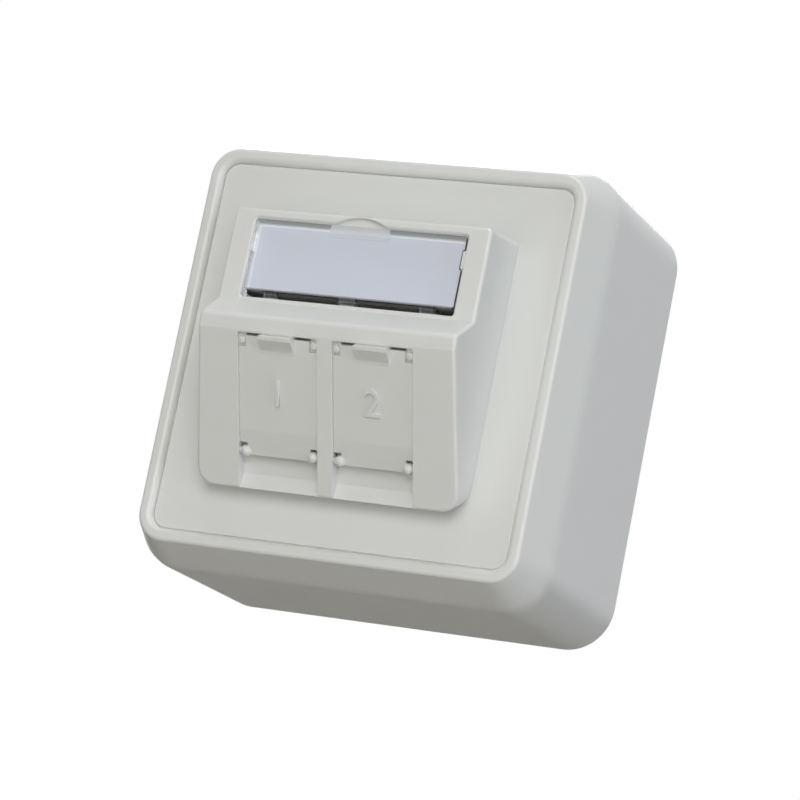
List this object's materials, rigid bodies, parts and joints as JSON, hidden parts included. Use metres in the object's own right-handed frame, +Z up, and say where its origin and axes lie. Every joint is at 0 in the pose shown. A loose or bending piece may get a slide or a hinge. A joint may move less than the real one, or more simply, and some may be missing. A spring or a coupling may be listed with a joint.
{
  "type": "surface mount jack box",
  "caption": "White square surface mount jack box with an angled hood, dust flaps over the data jacks and a clear-covered label strip.",
  "frame": {"origin": "centre of the back face, in the wall plane", "axes": "+X to the right seen from the front, +Z up, the front faces -Y, so +Y points into the wall"},
  "size_m": [0.08, 0.0584, 0.08],
  "materials": {
    "white_abs": "satin moulded",
    "white_abs_matt": "matt moulded",
    "clear_plastic": "clear polished",
    "card": "uncoated",
    "black_plastic": "matt moulded",
    "plated_sheet": "zinc plated",
    "gilt_contacts": "bright",
    "bronze_blades": "satin",
    "brass_tab": "satin",
    "screw_steel": "zinc plated"
  },
  "bodies": {
    "box": {"housing": "white_abs", "base_plate": "white_abs_matt", "cover_plate": "white_abs", "label_card": "card", "module_carrier": "plated_sheet", "jack_body_left": "black_plastic", "jack_body_right": "black_plastic", "jack_contacts_left": "gilt_contacts", "jack_contacts_right": "gilt_contacts", "jack_shield_left": "plated_sheet", "jack_shield_right": "plated_sheet", "wire_terminals_left": "bronze_blades", "wire_terminals_right": "bronze_blades", "wiring_cap_left": "black_plastic", "wiring_cap_right": "black_plastic", "earth_terminal": "brass_tab", "cable_clamp": "white_abs_matt", "cover_screws": "screw_steel", "carrier_screws": "screw_steel", "clamp_screws": "screw_steel", "earth_screw": "screw_steel"},
    "flap_left": {"flap_left": "white_abs"},
    "flap_right": {"flap_right": "white_abs"},
    "label_cover": {"label_cover": "clear_plastic"}
  },
  "joints": [
    {"name": "flap_left_hinge", "type": "hinge", "parent": "box", "child": "flap_left", "pos_m": [-0.0091, -0.04678, -0.01964], "axis": [1, 0, 0], "range_deg": [0, 120]},
    {"name": "flap_right_hinge", "type": "hinge", "parent": "box", "child": "flap_right", "pos_m": [0.0091, -0.04678, -0.01964], "axis": [1, 0, 0], "range_deg": [0, 120]},
    {"name": "label_cover_hinge", "type": "hinge", "parent": "box", "child": "label_cover", "pos_m": [0, -0.0515, 0.0074], "axis": [1, 0, 0], "range_deg": [0, 35]}
  ]
}
